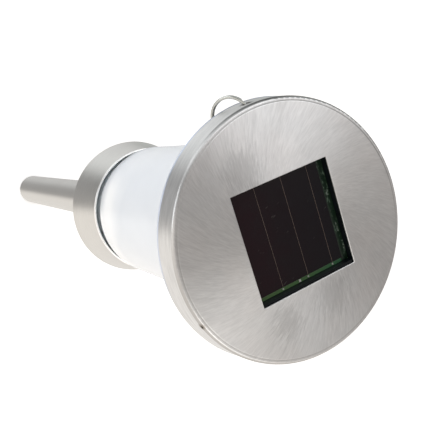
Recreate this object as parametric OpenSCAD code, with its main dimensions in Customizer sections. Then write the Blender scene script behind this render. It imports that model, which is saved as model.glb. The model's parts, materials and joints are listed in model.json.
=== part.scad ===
// Solar fence light on a plain pole tube, modelled upright.
// The origin is the middle of the open lower end of the tube and +Z runs up to the cap.

/* [Overall] */
// Height from the lower tube end to the cap face
total_h = 493; // [300:1:900]

/* [Pole tube] */
// Outer diameter of the tube
tube_d = 28; // [16:0.5:50]
// Wall of the tube
tube_wall = 0.8; // [0.5:0.1:2]
// Height of the plug pressed into the top of the tube
plug_h = 18; // [8:1:40]
// Depth of the hollow turned in the underside of the plug
plug_hollow = 6; // [1:0.5:10]
// Wall left round the hollow of the plug
plug_wall = 3; // [1:0.5:6]
// Step in the bore of the tube that stops the plug
plug_seat = 0.2; // [0.1:0.05:0.5]

/* [Collar] */
// Distance from the cap face down to the collar floor
collar_drop = 197.4; // [120:0.1:300]
// Height of the collar
collar_h = 33.3; // [15:0.1:60]
// Room between the neck of the glass and the outside of the collar lip
lip_gap = 4.3; // [3:0.1:10]
// Spread of the collar from its lip down to its floor
collar_taper = 4.8; // [0:0.1:12]
// Sheet of the collar
collar_sheet = 0.8; // [0.5:0.1:2]
// Corner radius round the collar floor
collar_round = 2.6; // [1:0.1:8]
// Radius of the rolled lip bead
lip_bead = 0.6; // [0.4:0.1:1.5]

/* [Clamp] */
// Diameter of the clamp bolt
bolt_d = 5; // [3:0.5:8]
// Width across the flats of the bolt head
bolt_flats = 8; // [5:0.5:14]
// Height of the bolt head
bolt_head_h = 3.5; // [2:0.1:6]
// Diameter of the steel washer
washer_d = 20; // [10:1:40]
// Thickness of the steel washer
washer_h = 1.2; // [0.5:0.1:3]
// Diameter of the rubber pad under the glass
pad_d = 48; // [20:1:60]
// Thickness of the rubber pad
pad_h = 1; // [0.5:0.1:3]
// Side clearance of the bolt holes
bolt_clear = 0.3; // [0.1:0.05:1]

/* [Diffuser] */
// Clearance between the housing drum and the waist of the glass outside
drum_clear = 0.5; // [0.2:0.1:2]
// Step from the waist of the glass in to its straight neck
neck_step = 5; // [2:0.5:12]
// Distance from the cap face down to the waist
waist_drop = 150; // [80:1:220]
// Radius of the long arc of the flare
flare_arc = 3600; // [400:10:9000]
// Radius of the shoulder over the collar
shoulder_r = 12; // [6:0.5:16]
// Height of the underside of the shoulder over the lip of the collar
shoulder_lift = 2.7; // [0:0.1:8]
// Distance from the cap face down to the glass rim
rim_drop = 12.8; // [8:0.1:30]
// Wall of the glass
glass_wall = 2.2; // [1:0.1:4]
// Floor of the glass
glass_floor = 3; // [1.5:0.1:6]
// Corner radius round the glass floor
floor_round = 6; // [2:0.5:15]

/* [Cap] */
// Reach of the cap past the waist of the glass
cap_reach = 20; // [14:0.5:40]
// Spread of the skirt from the face down to its lower edge
cap_flare = 0.6; // [0:0.1:3]
// Height of the cap
cap_h = 13.8; // [8:0.1:30]
// Sheet of the cap
cap_sheet = 0.8; // [0.5:0.1:2]
// Radius round the edge of the face
edge_r = 1.6; // [0.9:0.1:4]
// Depth of the fine groove in the face beside the rounded edge
groove_d = 0.2; // [0.1:0.05:0.4]
// Width of the fine groove
groove_w = 1; // [0.4:0.1:2]
// Radius of the hem bead along the lower edge of the skirt
hem_bead = 0.6; // [0.45:0.05:1.2]
// Side of the square window
window_w = 52; // [30:0.5:80]
// Width of the small bevel round the window
window_bevel = 0.3; // [0.1:0.05:0.5]
// Diameter of the hole that carries the ring
ring_hole_d = 4.2; // [3:0.1:8]
// Distance from the cap face down to the ring hole
ring_hole_drop = 6.5; // [4.4:0.1:9]
// Turn of the ring hole round the cap
ring_hole_turn = 92.2; // [0:0.1:360]
// Width of the two drain notches in the rounded edge
notch_w = 1.6; // [1:0.1:5]
// Height of the two drain notches
notch_h = 1; // [0.5:0.1:3]
// Distance from the cap face down to the notches
notch_drop = 0.6; // [0.3:0.1:6]
// Turn of the first notch round the cap
notch_turn = 200; // [0:1:360]

/* [Ring] */
// Diameter of the ring wire
wire_d = 1.8; // [1:0.1:3]
// Radius of the ring centre line as a share of the reach of the cap
ring_share = 0.505; // [0.35:0.005:0.7]
// Lean of the ring plane away from the upright
ring_lean = 60.6; // [30:0.1:90]
// Turn of the ring inward in its own plane
ring_tip = 29; // [0:1:40]

/* [Panel] */
// Distance from the cap face down to the face of the panel board
panel_drop = 4.5; // [2:0.1:10]
// Reach of the pocket past the window on each side
pocket_lap = 0.4; // [0.1:0.1:2]
// Width of the ledge along the lower side of the pocket
pocket_ledge = 1.7; // [0.2:0.1:4]
// Side clearance of the panel board in its pocket
board_fit = 0.2; // [0.1:0.05:0.5]
// Thickness of the panel board
board_t = 1.2; // [0.6:0.1:3]
// Thickness of the cell strips
cell_t = 0.4; // [0.2:0.05:1]
// Width of the joins between the cell strips
cell_gap = 0.3; // [0.1:0.05:1]
// Spacing of the joins between the cell strips as a share of the board width
strip_share = 0.275; // [0.24:0.005:0.3]
// Distance of the first join from the left edge as a share of the board width
first_share = 0.271; // [0.2:0.001:0.3]
// Green margin on the left of the cells
margin_left = 0.8; // [0.2:0.1:6]
// Green margin on the right of the cells
margin_right = 3.6; // [0.2:0.1:6]
// Green margin below the cells
margin_low = 1.9; // [0.2:0.1:6]
// Green margin above the cells
margin_high = 0.8; // [0.2:0.1:6]
// Height of the printed lines over the joins
line_t = 0.1; // [0.05:0.05:0.3]
// Width of the printed lines
line_w = 0.16; // [0.1:0.02:1]
// Width of the large solder pad
pad_w = 1; // [0.5:0.1:6]
// Depth of the large solder pad
pad_l = 1.2; // [0.5:0.1:3]
// Height of the solder pads
solder_t = 0.35; // [0.1:0.05:1]
// Distance of the large solder pad from the middle of the board
pad_x = 2.5; // [0:0.5:20]
// Width of the small solder marks
mark_w = 0.7; // [0.4:0.1:3]
// Width of the solder streaks on the right margin
streak_w = 0.7; // [0.3:0.1:2]
// Length of the short solder streak
streak_l = 2.6; // [1:0.1:6]
// Position of the short solder streak up the board
streak_y = 8; // [0:0.5:20]
// Position of the long solder streaks down the board
streak_low = 5; // [2:0.5:12]

/* [Tray] */
// Rim of the panel tray outside the corners of the pocket
tray_rim = 5.2; // [3:0.1:12]
// Distance from the cap face down to the underside of the tray
tray_drop = 7.7; // [5:0.1:20]
// Wall of the tray round the pocket and rim
tray_wall = 1.8; // [1:0.1:4]
// Roof of the hollows under the tray
tray_roof = 2.2; // [1:0.1:4]
// Thickness of the foam gasket under the cap
foam_t = 0.5; // [0.2:0.1:2]
// Diameter of the threaded pillars under the cap
pillar_d = 6; // [4:0.5:10]
// Length of the threaded pillars
pillar_h = 5.6; // [3:0.1:12]
// Distance of the pillar axes outside the sides of the pocket
pillar_gap = 8.6; // [6.5:0.1:14]
// Side clearance round the pillars
pillar_clear = 0.3; // [0.1:0.05:1]

/* [Housing] */
// Wall of the housing drum outside the screw bosses
drum_rim = 1; // [0.4:0.1:4]
// Distance from the cap face down to the underside of the housing floor
housing_drop = 27; // [15:0.5:60]
// Wall of the housing
housing_wall = 2; // [1:0.1:4]
// Reach of the housing flange past the waist of the glass
flange_lap = 2.6; // [1:0.1:6]
// Thickness of the housing flange
flange_h = 1.5; // [1:0.1:4]
// Thickness of the rubber ring on the glass rim
seal_h = 0.8; // [0.4:0.1:2]
// Diameter of the screw bosses
boss_d = 7; // [5:0.5:12]
// Diameter of the housing screws
screw_d = 3; // [2:0.5:5]
// Diameter of the housing screw heads
screw_head_d = 5.6; // [4:0.1:9]
// Height of the housing screw heads
screw_head_h = 1.8; // [1:0.1:4]
// Reach of the screws into the pillars
screw_reach = 4; // [2:0.5:8]

/* [Electronics] */
// Width of the control board as a share of the inner width of the housing
control_share = 0.613; // [0.4:0.001:0.66]
// Depth of the control board as a share of the inner width of the housing
depth_share = 0.4; // [0.25:0.01:0.42]
// Thickness of the control board
control_t = 1.6; // [0.8:0.1:2.4]
// Distance of the control board from the housing floor
control_lift = 5; // [3:0.5:10]
// Side of the chip on the control board
chip_w = 6.4; // [3:0.1:10]
// Height of the chip on the control board
chip_h = 1.5; // [0.8:0.1:3]
// Position of the near edge of the control board
control_y = -4; // [-6:0.5:6]
// Diameter of the board posts
post_d = 4.4; // [3:0.2:8]
// Inset of the board posts from the board edges
post_inset = 3; // [2:0.5:6]
// Diameter of the board screws
small_screw_d = 2; // [1.5:0.1:3]
// Diameter of the board screw heads
small_head_d = 3.8; // [3:0.1:6]
// Height of the board screw heads
small_head_h = 1.3; // [0.6:0.1:3]
// Diameter of the lamp bulb
led_d = 5; // [3:0.5:10]
// Length of the lamp bulb to the middle of its dome
led_h = 6.1; // [3:0.1:12]
// Diameter of the foot flange of the lamp bulb
led_foot_d = 5.8; // [3.5:0.1:12]
// Height of the foot flange of the lamp bulb
led_foot_h = 1; // [0.5:0.1:3]
// Position of the lamp bulb across the board
led_y = 3; // [0:0.5:15]
// Diameter of the reflector mouth
reflector_d = 18; // [8:0.5:40]
// Diameter of the reflector throat
reflector_throat = 7.4; // [6:0.1:12]
// Depth of the reflector
reflector_h = 8; // [3:0.5:15]
// Sheet of the reflector
reflector_sheet = 0.6; // [0.4:0.1:1.5]
// Width of the reflector collar
reflector_rim = 2; // [1:0.5:4]
// Diameter of the battery
cell_d = 14.2; // [9:0.1:18]
// Length of the battery body as a share of the inner width of the housing
cell_share = 0.648; // [0.4:0.001:0.66]
// Diameter of the battery button
button_d = 5.4; // [3:0.1:8]
// Height of the battery button
button_h = 1.2; // [0.6:0.1:3]
// Position of the battery across the housing
cell_y = 15.3; // [8:0.1:20]
// Space under the battery
cell_lift = 0.8; // [0.3:0.1:3]
// Thickness of the contact plates
contact_t = 0.8; // [0.4:0.1:2]
// Width of the contact plates
contact_w = 9; // [5:0.5:14]
// Diameter of the panel leads
lead_d = 1.6; // [1:0.1:3]
// Spacing of the panel leads
lead_pitch = 4; // [2:0.5:10]
// Distance of the panel leads from the left edge of the panel board
lead_inset = 10.2; // [6:0.2:16]
// Position of the panel leads across the board
lead_y = 12; // [5:1:20]

/* [Switch] */
// Width of the switch body
switch_w = 9; // [6:0.5:15]
// Depth of the switch body
switch_l = 4.6; // [3:0.1:8]
// Position of the switch to the right
switch_x = 13; // [8:1:20]
// Position of the switch across the board
switch_y = 15; // [6:1:22]
// Width of the switch knob
knob_w = 2.4; // [1.5:0.1:5]
// Depth of the switch knob
knob_l = 2; // [1.5:0.1:4]
// Projection of the knob below the housing floor
knob_out = 1.6; // [0.8:0.1:4]
// Travel of the switch knob
knob_travel = 3.4; // [2:0.1:6]
// Side clearance round the knob
knob_clear = 0.2; // [0.1:0.05:0.5]

/* [Battery door] */
// Overlap of the door past each end of the opening
door_side = 2.4; // [1:0.1:5]
// Thickness of the door
door_t = 1.6; // [1:0.1:3]
// Room past each end of the battery in the opening
hatch_side = 0.8; // [0.6:0.1:3]
// Depth of the opening over the battery
hatch_l = 15; // [9:0.5:20]
// Overlap of the door past the opening
door_lap = 1.4; // [0.5:0.1:3]
// Gap between the door and the floor
door_gap = 0.2; // [0.1:0.05:0.5]
// Diameter of the hinge pin
pin_d = 1.6; // [1:0.1:3]
// Diameter of the hinge knuckles
knuckle_d = 3.4; // [2.4:0.1:6]
// Running clearance of the knuckles on the pin
pin_clear = 0.06; // [0.02:0.01:0.1]
// Distance of the hinge pin behind the opening
pin_back = 3.4; // [2.6:0.1:6]
// Width of each hinge lug
lug_w = 3; // [2:0.5:6]
// Inset of the hinge lugs from the ends of the opening
lug_inset = 2.1; // [0.5:0.1:10]
// Side clearance of the knuckles between the lugs
lug_clear = 0.4; // [0.1:0.05:1]
// Width of the finger rib on the door
rib_w = 20; // [8:1:40]
// Height of the finger rib
rib_h = 1.2; // [0.5:0.1:3]

/* [Hidden] */
$fn = 96;
overrun = 1;
half = 0.5;
tube_r = tube_d / 2;
bore_r = tube_r - tube_wall;
plug_r = bore_r - plug_seat;
floor_z = total_h - collar_drop;
pad_z = floor_z + collar_sheet;
glass_z = pad_z + pad_h;
washer_z = glass_z + glass_floor;
head_z = washer_z + washer_h;
plug_z = floor_z - plug_h;
shoulder_z = floor_z + collar_h + shoulder_lift;
waist_z = total_h - waist_drop;
rim_z = total_h - rim_drop;
pocket_w = window_w + pocket_lap * 2;
pillar_ring = pocket_w / 2 + pillar_gap;
drum_r = pillar_ring + boss_d / 2 + drum_rim;
waist_r = drum_r + drum_clear;
neck_r = waist_r - neck_step;
collar_lip_r = neck_r + lip_gap;
collar_r = collar_lip_r + collar_taper;
arc_x = waist_r + flare_arc;
cap_r = waist_r + cap_reach;
cap_back_r = cap_r + cap_flare;
cap_z = total_h - cap_h;
skirt_h = cap_h - edge_r;
hole_up = cap_h - ring_hole_drop;
skirt_at_hole = cap_back_r + (cap_r - cap_back_r) * hole_up / skirt_h;
ring_x = skirt_at_hole - cap_sheet / 2;
ring_r = cap_reach * ring_share;
ring_z = total_h - ring_hole_drop;
panel_z = total_h - panel_drop;
board_z = panel_z - board_t;
board_w = pocket_w - board_fit * 2;
board_l = board_w - pocket_ledge;
board_y = board_w / 2 - board_l;
cell_pitch = board_w * strip_share;
first_join = board_w * first_share;
lead_x = board_w / 2 - lead_inset;
tray_z = total_h - tray_drop;
tray_r = pocket_w * sqrt(half) + tray_rim;
foam_z = total_h - cap_sheet - foam_t;
roof_z = foam_z - tray_roof;
housing_z = total_h - housing_drop;
floor_top = housing_z + housing_wall;
flange_z = rim_z + seal_h;
flange_r = waist_r + flange_lap;
inner_w = (drum_r - housing_wall) * 2;
control_w = inner_w * control_share;
control_l = inner_w * depth_share;
cell_l = inner_w * cell_share;
hatch_w = cell_l + hatch_side * 2;
door_w = hatch_w + door_side * 2;
lug_span = hatch_w - lug_inset * 2;
control_z = floor_top + control_lift;
led_z = control_z - led_foot_h;
battery_z = floor_top + cell_lift + cell_d / 2;
hatch_y = -cell_y;
pin_y = hatch_y - hatch_l / 2 - pin_back;
pin_r = pin_d / 2;
knuckle_r = knuckle_d / 2;
pin_z = housing_z - door_gap - knuckle_r;
door_z = housing_z - door_gap - door_t;
door_y = hatch_y + hatch_l / 2 + door_lap;
lug_x = lug_span / 2;

// A plain tube standing on the origin.
module pole_tube() {
  color([0.75, 0.75, 0.73])
  difference() {
    cylinder(r = tube_r, h = floor_z);
    translate([0, 0, -overrun]) cylinder(r = bore_r, h = plug_z + overrun);
    translate([0, 0, plug_z - overrun]) cylinder(r = plug_r, h = plug_h + overrun * 2);
  }
}

// The turned plug that closes the tube and takes the clamp bolt.
module pole_plug() {
  color([0.6, 0.6, 0.6])
  translate([0, 0, plug_z])
  difference() {
    cylinder(r = plug_r, h = plug_h);
    translate([0, 0, -overrun]) cylinder(r = plug_r - plug_wall, h = plug_hollow + overrun);
    translate([0, 0, -overrun]) cylinder(d = bolt_d, h = plug_h + overrun * 2);
  }
}

// One side of the collar section, drawn inside the given sheet depth.
module collar_section(inset, top) {
  corner_x = collar_r - collar_round;
  translate([corner_x, collar_round]) circle(r = collar_round - inset);
  polygon([[0, inset], [corner_x, inset], [collar_r - inset, collar_round],
    [collar_lip_r - inset, top], [0, top]]);
}

// The tapered drawn cup that holds the glass.
module collar_cup() {
  color([0.77, 0.76, 0.74])
  translate([0, 0, floor_z])
  difference() {
    union() {
      rotate_extrude()
      difference() {
        collar_section(0, collar_h);
        intersection() {
          collar_section(collar_sheet, collar_h);
          square([collar_r, collar_h]);
        }
      }
      rotate_extrude() translate([collar_lip_r - collar_sheet / 2, collar_h]) circle(r = lip_bead);
    }
    translate([0, 0, -overrun])
    cylinder(r = bolt_d / 2 + bolt_clear, h = collar_sheet + overrun * 2);
  }
}

// The rubber pad between the collar floor and the glass.
module glass_pad() {
  color([0.12, 0.12, 0.12])
  translate([0, 0, pad_z])
  difference() {
    cylinder(d = pad_d, h = pad_h);
    translate([0, 0, -overrun]) cylinder(r = bolt_d / 2 + bolt_clear, h = pad_h + overrun * 2);
  }
}

// Outline of the glass grown inward by the given inset.
module glass_section(inset) {
  neck_in = neck_r - inset;
  neck_base = inset == 0 ? glass_z : washer_z;
  neck_top = shoulder_z + shoulder_r;
  corner = floor_round - inset * half;
  translate([0, neck_base + corner]) square([neck_in, neck_top - neck_base - corner]);
  translate([0, neck_base]) square([neck_in - corner, corner + overrun]);
  translate([neck_in - corner, neck_base + corner]) circle(r = corner);
  translate([waist_r - shoulder_r, neck_top]) circle(r = shoulder_r - inset);
  translate([0, shoulder_z + inset]) square([waist_r - shoulder_r, shoulder_r - inset + overrun]);
  difference() {
    translate([0, neck_top]) square([cap_r, rim_z - neck_top + (inset == 0 ? 0 : overrun)]);
    translate([arc_x, waist_z]) circle(r = flare_arc + inset, $fn = 2880);
  }
}

// The flared opal glass with its shoulder, neck and drilled floor.
module diffuser() {
  color([0.93, 0.95, 0.97])
  difference() {
    rotate_extrude()
    difference() {
      glass_section(0);
      glass_section(glass_wall);
    }
    translate([0, 0, glass_z - overrun])
    cylinder(r = bolt_d / 2 + bolt_clear, h = glass_floor + overrun * 2);
  }
}

// The steel washer under the bolt head.
module clamp_washer() {
  color([0.7, 0.7, 0.7])
  translate([0, 0, washer_z])
  difference() {
    cylinder(d = washer_d, h = washer_h);
    translate([0, 0, -overrun]) cylinder(r = bolt_d / 2 + bolt_clear, h = washer_h + overrun * 2);
  }
}

// The bolt that pulls glass, collar and plug together.
module clamp_bolt() {
  color([0.72, 0.72, 0.72])
  union() {
    translate([0, 0, head_z]) cylinder(d = bolt_flats / cos(30), h = bolt_head_h, $fn = 6);
    translate([0, 0, plug_z + plug_hollow]) cylinder(d = bolt_d, h = head_z - plug_z - plug_hollow);
  }
}

// Solid section of the cap drawn inside the given sheet depth.
module cap_section(inset) {
  polygon([[0, 0], [cap_back_r - inset, 0], [cap_r - inset, skirt_h], [0, skirt_h]]);
  translate([cap_r - edge_r, skirt_h]) circle(r = edge_r - inset);
  square([cap_r - edge_r, cap_h - inset]);
}

// The spun cap with its window, ring hole, groove and drain notches.
module cap_shell() {
  color([0.8, 0.8, 0.79])
  translate([0, 0, cap_z])
  difference() {
    union() {
      rotate_extrude()
      difference() {
        cap_section(0);
        cap_section(cap_sheet);
        translate([cap_r - edge_r - groove_w / 2, cap_h])
        polygon([[-groove_w / 2, 0], [0, -groove_d], [groove_w / 2, 0], [0, groove_d]]);
      }
      rotate_extrude() translate([cap_back_r - cap_sheet / 2, 0]) circle(r = hem_bead);
    }
    translate([-window_w / 2, -window_w / 2, cap_h - cap_sheet - overrun])
    cube([window_w, window_w, cap_sheet + overrun * 2]);
    for (turn = [0 : 90 : 270]) rotate([0, 0, turn]) translate([window_w / 2, -window_w / 2, cap_h])
    rotate([0, 45, 0]) translate([-window_bevel / 2, 0, -window_bevel / 2])
    cube([window_bevel, window_w, window_bevel]);
    rotate([0, 0, ring_hole_turn]) translate([cap_r - cap_sheet - overrun, 0, hole_up])
    rotate([0, 90, 0]) cylinder(d = ring_hole_d, h = cap_sheet + overrun * 3);
    for (side = [0, 180]) rotate([0, 0, notch_turn + side])
    translate([cap_r - cap_sheet - overrun, -notch_w / 2, cap_h - notch_drop - notch_h])
    cube([cap_sheet + overrun * 3, notch_w, notch_h]);
  }
}

// The four threaded pillars fixed under the cap face.
module cap_pillars() {
  color([0.7, 0.7, 0.7])
  for (turn = [0 : 90 : 270]) rotate([0, 0, turn])
  translate([pillar_ring, 0, total_h - cap_sheet - pillar_h])
  difference() {
    cylinder(d = pillar_d, h = pillar_h);
    translate([0, 0, -overrun]) cylinder(d = screw_d, h = screw_reach + overrun);
  }
}

// The foam gasket between cap and tray.
module foam_gasket() {
  color([0.08, 0.08, 0.08])
  translate([0, 0, foam_z])
  difference() {
    cylinder(r = tray_r, h = foam_t);
    translate([-pocket_w / 2, -pocket_w / 2, -overrun]) cube([pocket_w, pocket_w, foam_t + overrun * 2]);
    for (turn = [0 : 90 : 270]) rotate([0, 0, turn]) translate([pillar_ring, 0, -overrun])
    cylinder(r = pillar_d / 2 + pillar_clear, h = foam_t + overrun * 2);
  }
}

// The black tray with the square pocket seen through the window.
module panel_tray() {
  pocket_out = pocket_w + tray_wall * 2;
  color([0.05, 0.05, 0.05])
  difference() {
    translate([0, 0, tray_z]) cylinder(r = tray_r, h = foam_z - tray_z);
    translate([-pocket_w / 2, pocket_ledge - pocket_w / 2, board_z])
    cube([pocket_w, pocket_w - pocket_ledge, foam_z - board_z + overrun]);
    translate([0, 0, tray_z - overrun])
    difference() {
      cylinder(r = tray_r - tray_wall, h = roof_z - tray_z + overrun);
      translate([-pocket_out / 2, -pocket_out / 2, -overrun])
      cube([pocket_out, pocket_out, foam_z - tray_z + overrun]);
      for (turn = [0 : 90 : 270]) rotate([0, 0, turn]) translate([pillar_ring, 0, -overrun])
      cylinder(r = pillar_d / 2 + pillar_clear + tray_wall, h = foam_z - tray_z + overrun);
      for (turn = [45 : 90 : 315]) rotate([0, 0, turn]) translate([pocket_w / 2, -tray_wall / 2, -overrun])
      cube([tray_r, tray_wall, foam_z - tray_z + overrun]);
    }
    for (turn = [0 : 90 : 270]) rotate([0, 0, turn]) translate([pillar_ring, 0, tray_z - overrun])
    cylinder(r = pillar_d / 2 + pillar_clear, h = foam_z - tray_z + overrun * 2);
    for (side = [-half, half]) translate([-lead_x + side * lead_pitch, lead_y, tray_z - overrun])
    cylinder(r = lead_d / 2 + knob_clear, h = board_z - tray_z + overrun * 2);
  }
}

// The green board under the cell strips.
module panel_board() {
  color([0.1, 0.3, 0.16])
  translate([-board_w / 2, board_y, board_z]) cube([board_w, board_l, board_t]);
}

// The four dark cell strips with narrow joins between them.
module solar_cells() {
  left = -board_w / 2 + margin_left;
  low = board_y + margin_low;
  tall = board_l - margin_low - margin_high;
  color([0.07, 0.03, 0.05])
  translate([0, 0, panel_z])
  difference() {
    translate([left, low, 0]) cube([board_w - margin_left - margin_right, tall, cell_t]);
    for (step = [0 : 2])
    translate([-board_w / 2 + first_join + step * cell_pitch - cell_gap / 2, low - overrun, -overrun])
    cube([cell_gap, tall + overrun * 2, cell_t + overrun * 2]);
  }
}

// The thin pale lines that run over the joins.
module cell_lines() {
  low = board_y + margin_low;
  tall = board_l - margin_low - margin_high;
  color([0.55, 0.45, 0.38])
  for (step = [0 : 2])
  translate([-board_w / 2 + first_join + step * cell_pitch, low, panel_z])
  translate([-line_w / 2, 0, 0]) cube([line_w, tall, cell_t + line_t]);
}

// The solder pad, the small marks and the streaks on the green margins.
module solder_pads() {
  mark_y = board_y + (margin_low - mark_w) / 2;
  streak_x = board_w / 2 - margin_right / 2;
  color([0.8, 0.8, 0.76])
  translate([0, 0, panel_z]) {
    translate([-pad_x - pad_w / 2, board_y + (margin_low - pad_l) / 2, 0]) cube([pad_w, pad_l, solder_t]);
    for (step = [0 : 2])
    translate([-board_w / 2 + first_join + step * cell_pitch - mark_w / 2, mark_y, 0])
    cube([mark_w, mark_w, solder_t]);
    translate([streak_x - streak_w, streak_y, 0]) cube([streak_w * 2, streak_l, solder_t]);
    translate([streak_x, -streak_low - streak_l * 2, 0]) cube([streak_w, streak_l * 2, solder_t]);
    translate([streak_x + streak_w, -streak_low * 3 - streak_l * 2, 0]) cube([streak_w, streak_l * 2, solder_t]);
  }
}

// The black housing under the tray, with bosses, posts, hatch and hinge lugs.
module head_housing() {
  control_mid = control_y + control_l / 2;
  post_x = control_w / 2 - post_inset;
  post_y = control_l / 2 - post_inset;
  color([0.07, 0.07, 0.07])
  difference() {
    union() {
      difference() {
        union() {
          translate([0, 0, housing_z]) cylinder(r = drum_r, h = flange_z - housing_z);
          translate([0, 0, flange_z]) cylinder(r = flange_r, h = tray_z - flange_z);
        }
        translate([0, 0, floor_top])
        cylinder(r = drum_r - housing_wall, h = tray_z - floor_top + overrun);
        translate([0, 0, flange_z + flange_h])
        cylinder(r = flange_r - housing_wall, h = tray_z - flange_z + overrun);
      }
      for (turn = [0 : 90 : 270]) rotate([0, 0, turn]) translate([pillar_ring, 0, housing_z])
      cylinder(d = boss_d, h = tray_z - housing_z);
      for (px = [-post_x, post_x]) for (py = [-post_y, post_y])
      translate([px, control_mid + py, housing_z]) cylinder(d = post_d, h = control_z - housing_z);
      for (side = [0, 1]) mirror([side, 0, 0])
      translate([lug_x - lug_w, pin_y - knuckle_r, pin_z - knuckle_r])
      cube([lug_w, knuckle_d, housing_z - pin_z + knuckle_r + overrun * half]);
    }
    translate([-hatch_w / 2, hatch_y - hatch_l / 2, housing_z - overrun])
    cube([hatch_w, hatch_l, housing_wall + overrun * 2]);
    translate([0, led_y, housing_z - overrun])
    cylinder(d = reflector_throat, h = housing_wall + overrun * 2);
    translate([switch_x - knob_w / 2 - knob_travel / 2 - knob_clear,
      switch_y - knob_l / 2 - knob_clear, housing_z - overrun])
    cube([knob_w + knob_travel + knob_clear * 2, knob_l + knob_clear * 2, housing_wall + overrun * 2]);
    for (turn = [0 : 90 : 270]) rotate([0, 0, turn]) translate([pillar_ring, 0, 0]) {
      translate([0, 0, housing_z - overrun]) cylinder(d = screw_d, h = tray_z - housing_z + overrun * 2);
      translate([0, 0, housing_z - overrun]) cylinder(d = screw_head_d, h = screw_head_h + overrun);
    }
    for (px = [-post_x, post_x]) for (py = [-post_y, post_y])
    translate([px, control_mid + py, floor_top]) cylinder(d = small_screw_d, h = control_lift + overrun);
    translate([-lug_x - overrun, pin_y, pin_z])
    rotate([0, 90, 0]) cylinder(r = pin_r, h = lug_span + overrun * 2);
  }
}

// The rubber ring that rests on the glass rim.
module rim_seal() {
  seal_out = waist_r + (rim_z - waist_z) * (rim_z - waist_z) / flare_arc / 2;
  color([0.1, 0.1, 0.1])
  translate([0, 0, rim_z])
  difference() {
    cylinder(r = seal_out, h = seal_h);
    translate([0, 0, -overrun]) cylinder(r = drum_r, h = seal_h + overrun * 2);
  }
}

// The four screws that clamp housing and tray to the cap pillars.
module housing_screws() {
  screw_top = total_h - cap_sheet - pillar_h + screw_reach;
  color([0.7, 0.7, 0.7])
  for (turn = [0 : 90 : 270]) rotate([0, 0, turn]) translate([pillar_ring, 0, housing_z])
  difference() {
    union() {
      cylinder(d = screw_head_d, h = screw_head_h);
      cylinder(d = screw_d, h = screw_top - housing_z);
    }
    for (slot = [0, 90]) rotate([0, 0, slot])
    translate([-screw_d / 2, -small_head_h / 4, -overrun]) cube([screw_d, small_head_h / 2, screw_head_h / 2 + overrun]);
  }
}

// The board that charges the battery and feeds the lamp.
module control_board() {
  control_mid = control_y + control_l / 2;
  color([0.08, 0.3, 0.14])
  difference() {
    union() {
      translate([-control_w / 2, control_y, control_z]) cube([control_w, control_l, control_t]);
      translate([-chip_w / 2, control_mid, control_z + control_t]) cube([chip_w, chip_w, chip_h]);
      translate([chip_w * 3 / 2, control_mid, control_z + control_t]) cylinder(r = chip_h, h = chip_w / 2);
    }
    for (px = [-1, 1]) for (py = [-1, 1])
    translate([px * (control_w / 2 - post_inset), control_mid + py * (control_l / 2 - post_inset),
      control_z - overrun]) cylinder(d = small_screw_d, h = control_t + overrun * 2);
  }
}

// The four small screws of the control board.
module board_screws() {
  control_mid = control_y + control_l / 2;
  color([0.72, 0.72, 0.7])
  for (px = [-1, 1]) for (py = [-1, 1])
  translate([px * (control_w / 2 - post_inset), control_mid + py * (control_l / 2 - post_inset), floor_top])
  union() {
    cylinder(d = small_screw_d, h = control_lift + control_t);
    translate([0, 0, control_lift + control_t]) cylinder(d = small_head_d, h = small_head_h);
  }
}

// The domed lamp bulb under the control board.
module led_bulb() {
  color([0.9, 0.92, 0.85])
  translate([0, led_y, led_z]) {
    cylinder(d = led_foot_d, h = led_foot_h);
    translate([0, 0, -led_h]) cylinder(d = led_d, h = led_h);
    translate([0, 0, -led_h]) sphere(d = led_d);
  }
}

// The small bright cone round the lamp bulb.
module reflector() {
  throat_r = reflector_throat / 2;
  mouth_r = reflector_d / 2;
  color([0.85, 0.85, 0.83])
  translate([0, led_y, housing_z])
  rotate_extrude()
  polygon([[throat_r, 0], [throat_r + reflector_rim, 0], [throat_r + reflector_rim, -reflector_sheet],
    [throat_r + reflector_sheet * 2, -reflector_sheet], [mouth_r, -reflector_h],
    [mouth_r - reflector_sheet, -reflector_h], [throat_r, -reflector_sheet]]);
}

// The rechargeable cell lying over the hatch.
module battery() {
  color([0.25, 0.45, 0.3])
  translate([-cell_l / 2 - button_h / 2, -cell_y, battery_z]) rotate([0, 90, 0]) {
    cylinder(d = cell_d, h = cell_l);
    translate([0, 0, cell_l]) cylinder(d = button_d, h = button_h);
  }
}

// The two spring plates at the ends of the battery.
module contact_plates() {
  reach = (cell_l + button_h) / 2;
  color([0.75, 0.75, 0.72])
  for (side = [0, 1]) mirror([side, 0, 0])
  translate([reach, -cell_y - contact_w / 2, floor_top]) cube([contact_t, contact_w, cell_d]);
}

// The two leads from the panel board down to the control board.
module panel_leads() {
  color([0.5, 0.05, 0.05])
  for (side = [-half, half]) translate([-lead_x + side * lead_pitch, lead_y, control_z + control_t])
  cylinder(d = lead_d, h = board_z - control_z - control_t);
}

// The fixed body of the slide switch.
module switch_body() {
  color([0.6, 0.6, 0.6])
  translate([switch_x, switch_y, floor_top])
  difference() {
    translate([-switch_w / 2, -switch_l / 2, 0]) cube([switch_w, switch_l, control_lift]);
    translate([-knob_w / 2 - knob_travel / 2 - knob_clear, -knob_l / 2 - knob_clear, -overrun])
    cube([knob_w + knob_travel + knob_clear * 2, knob_l + knob_clear * 2, control_lift / 2 + overrun]);
  }
}

// The knob that slides in the slot of the housing floor.
module switch_knob() {
  color([0.9, 0.9, 0.88])
  translate([switch_x - knob_travel / 2 - knob_w / 2, switch_y - knob_l / 2, housing_z - knob_out])
  cube([knob_w, knob_l, knob_out + housing_wall + control_lift / 2 - knob_clear]);
}

// The pin of the battery door.
module hinge_pin() {
  color([0.75, 0.75, 0.75])
  translate([-lug_x, pin_y, pin_z]) rotate([0, 90, 0]) cylinder(r = pin_r, h = lug_span);
}

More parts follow.
